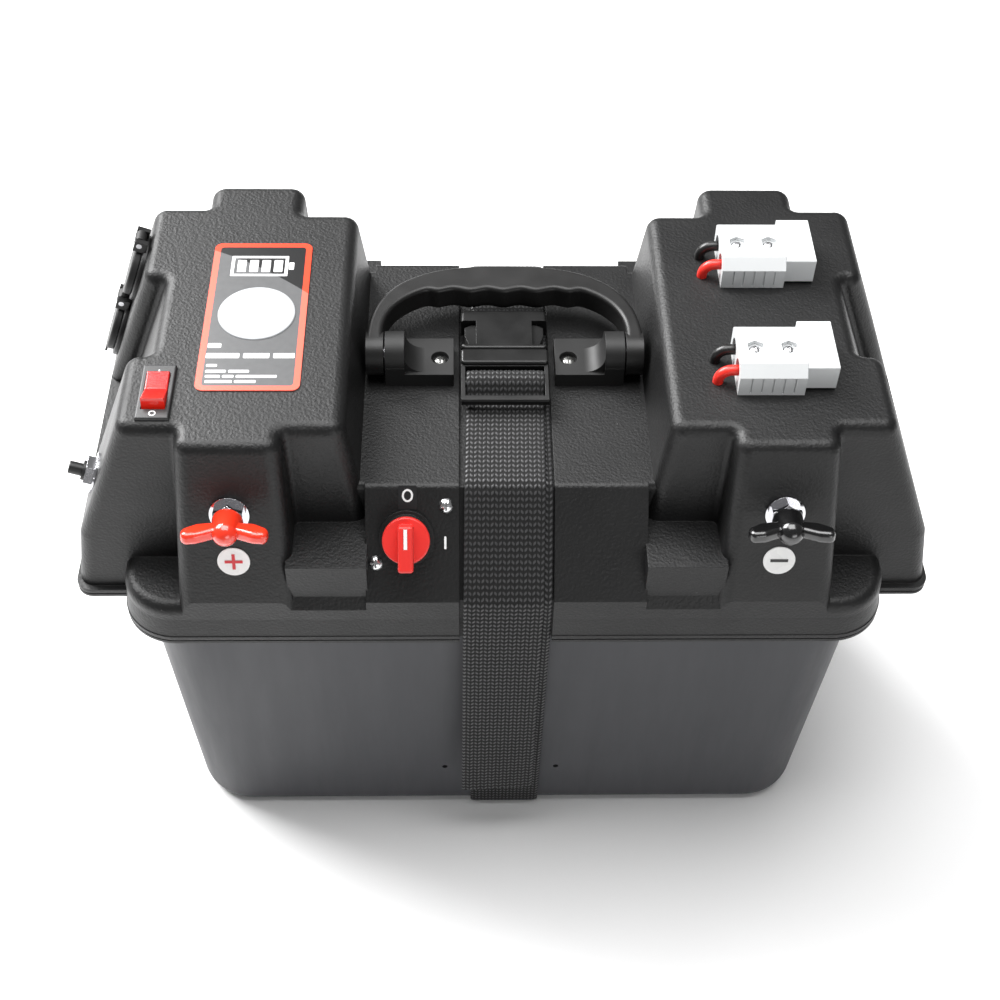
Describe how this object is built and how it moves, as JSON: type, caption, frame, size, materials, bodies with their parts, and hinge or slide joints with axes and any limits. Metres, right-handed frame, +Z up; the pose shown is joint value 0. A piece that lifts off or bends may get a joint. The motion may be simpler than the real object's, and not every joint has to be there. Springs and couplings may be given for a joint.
{
  "type": "battery box",
  "caption": "Portable leisure-battery box: grey tub, black lid with sockets, plugs, terminals, meter, isolator, folding handle and buckled webbing strap.",
  "frame": {"origin": "centre of the tub's rest face, on the floor plane", "axes": "+X to the right seen from the terminals' side, along the longest side; +Y from the terminals' side to the back; +Z up"},
  "size_m": [0.439, 0.2432, 0.316],
  "materials": {
    "tub_grey": "smooth moulded, satin",
    "lid_black": "pebbled moulding grain",
    "battery_shell": "smooth moulded",
    "plate_metal": "dull grey plates",
    "post_metal": "cast, dull",
    "webbing": "woven polypropylene",
    "buckle_black": "satin",
    "handle_black": "satin",
    "bracket_black": "fine grain",
    "pin_steel": "turned",
    "screw_zinc": "bright zinc",
    "screw_dark": "blackened",
    "nut_chrome": "polished",
    "dip_red": "glossy dip coating",
    "dip_black": "glossy dip coating",
    "disc_white": "satin",
    "mark_red": "printed",
    "mark_black": "printed",
    "connector_grey": "fine moulded",
    "contact_tin": "tinned copper",
    "wire_red": "insulation",
    "wire_black": "insulation",
    "label_face": "printed laminate",
    "meter_body": "moulded",
    "meter_window": "clear face over a pale dial",
    "bezel_grey": "fine grain",
    "rocker_red": "translucent",
    "socket_black": "satin",
    "cap_black": "soft cap",
    "knob_red": "moulded",
    "pointer_white": "filled line",
    "switch_black": "fine grain"
  },
  "bodies": {
    "tub_body": {"tub": "tub_grey", "battery_case": "battery_shell", "battery_cover": "battery_shell", "battery_plates": "plate_metal", "battery_posts": "post_metal", "strap_lower": "webbing"},
    "lid_body": {"strap_upper": "webbing", "strap_tail": "webbing", "buckle_female": "buckle_black", "buckle_male": "buckle_black", "handle_bracket_left": "bracket_black", "handle_bracket_right": "bracket_black", "handle_pins": "pin_steel", "bracket_screws": "screw_dark", "terminal_studs": "nut_chrome", "flange_nuts": "nut_chrome", "polarity_disc_positive": "disc_white", "polarity_disc_negative": "disc_white", "terminal_inner_nuts": "nut_chrome", "plus_mark": "mark_red", "minus_mark": "mark_black", "battery_lead_positive": "wire_red", "battery_lead_negative": "wire_black", "connector_rear": "connector_grey", "connector_front": "connector_grey", "connector_contacts": "contact_tin", "connector_screws": "screw_zinc", "connector_leads_red": "wire_red", "connector_leads_black": "wire_black", "label_plate": "label_face", "voltmeter_body": "meter_body", "voltmeter_window": "meter_window", "rocker_breaker_body": "bezel_grey", "socket_upper": "socket_black", "socket_lower": "socket_black", "socket_nuts": "socket_black", "socket_contacts": "contact_tin", "socket_cap_pins": "pin_steel", "breaker_body": "socket_black", "breaker_nuts": "nut_chrome", "switch_base": "switch_black", "switch_body": "switch_black", "switch_screws": "screw_zinc", "lid_middle": "lid_black", "lid_left": "lid_black", "lid_wing_front": "lid_black", "lid_wing_middle": "lid_black", "lid_wing_back": "lid_black", "lid_right": "lid_black"},
    "handle_body": {"handle": "handle_black"},
    "knob_body": {"switch_knob": "knob_red", "knob_pointer": "pointer_white"},
    "rocker_body": {"rocker_button": "rocker_red"},
    "cap_upper_body": {"socket_cap_upper": "cap_black"},
    "cap_lower_body": {"socket_cap_lower": "cap_black"},
    "button_body": {"breaker_button": "socket_black"},
    "wing_red_body": {"wing_nut_red": "dip_red"},
    "wing_black_body": {"wing_nut_black": "dip_black"},
    "prong_left_body": {"buckle_prong_left": "buckle_black"},
    "prong_right_body": {"buckle_prong_right": "buckle_black"}
  },
  "joints": [
    {"name": "lid_lift", "type": "slide", "parent": "tub_body", "child": "lid_body", "axis": [0, 0, 1], "range_m": [0, 0.21]},
    {"name": "handle_fold", "type": "hinge", "parent": "lid_body", "child": "handle_body", "pos_m": [0, 0.0005, 0.272], "axis": [1, 0, 0], "range_deg": [0, 100]},
    {"name": "switch_turn", "type": "hinge", "parent": "lid_body", "child": "knob_body", "pos_m": [-0.0488, -0.09585, 0.24082], "axis": [0, -0.7611, 0.6487], "range_deg": [-90, 0]},
    {"name": "rocker_tip", "type": "hinge", "parent": "lid_body", "child": "rocker_body", "pos_m": [-0.16645, -0.05665, 0.2978], "axis": [1, 0, 0], "range_deg": [0, 20]},
    {"name": "cap_upper_flip", "type": "hinge", "parent": "lid_body", "child": "cap_upper_body", "pos_m": [-0.18861, 0.057, 0.29993], "axis": [0, 1, 0], "range_deg": [0, 110]},
    {"name": "cap_lower_flip", "type": "hinge", "parent": "lid_body", "child": "cap_lower_body", "pos_m": [-0.20403, 0.057, 0.26033], "axis": [0, 1, 0], "range_deg": [0, 110]},
    {"name": "breaker_press", "type": "slide", "parent": "lid_body", "child": "button_body", "axis": [0.9318, 0, -0.3629], "range_m": [0, 0.0015], "stiffness_N_per_m": 600, "springref_m": -0.001},
    {"name": "wing_red_turn", "type": "hinge", "parent": "lid_body", "child": "wing_red_body", "pos_m": [-0.1315, -0.10174, 0.2653], "axis": [0, -0.9553, 0.2957], "continuous": true},
    {"name": "wing_black_turn", "type": "hinge", "parent": "lid_body", "child": "wing_black_body", "pos_m": [0.1315, -0.10174, 0.2653], "axis": [0, -0.9553, 0.2957], "continuous": true},
    {"name": "prong_left_squeeze", "type": "slide", "parent": "lid_body", "child": "prong_left_body", "axis": [1, 0, 0], "range_m": [0, 0.003], "stiffness_N_per_m": 800, "springref_m": -0.0005},
    {"name": "prong_right_squeeze", "type": "slide", "parent": "lid_body", "child": "prong_right_body", "axis": [-1, 0, 0], "range_m": [0, 0.003], "stiffness_N_per_m": 800, "springref_m": -0.0005}
  ],
  "couplings": [
    {"joint": "prong_right_squeeze", "follows": "prong_left_squeeze", "ratio": 1}
  ]
}
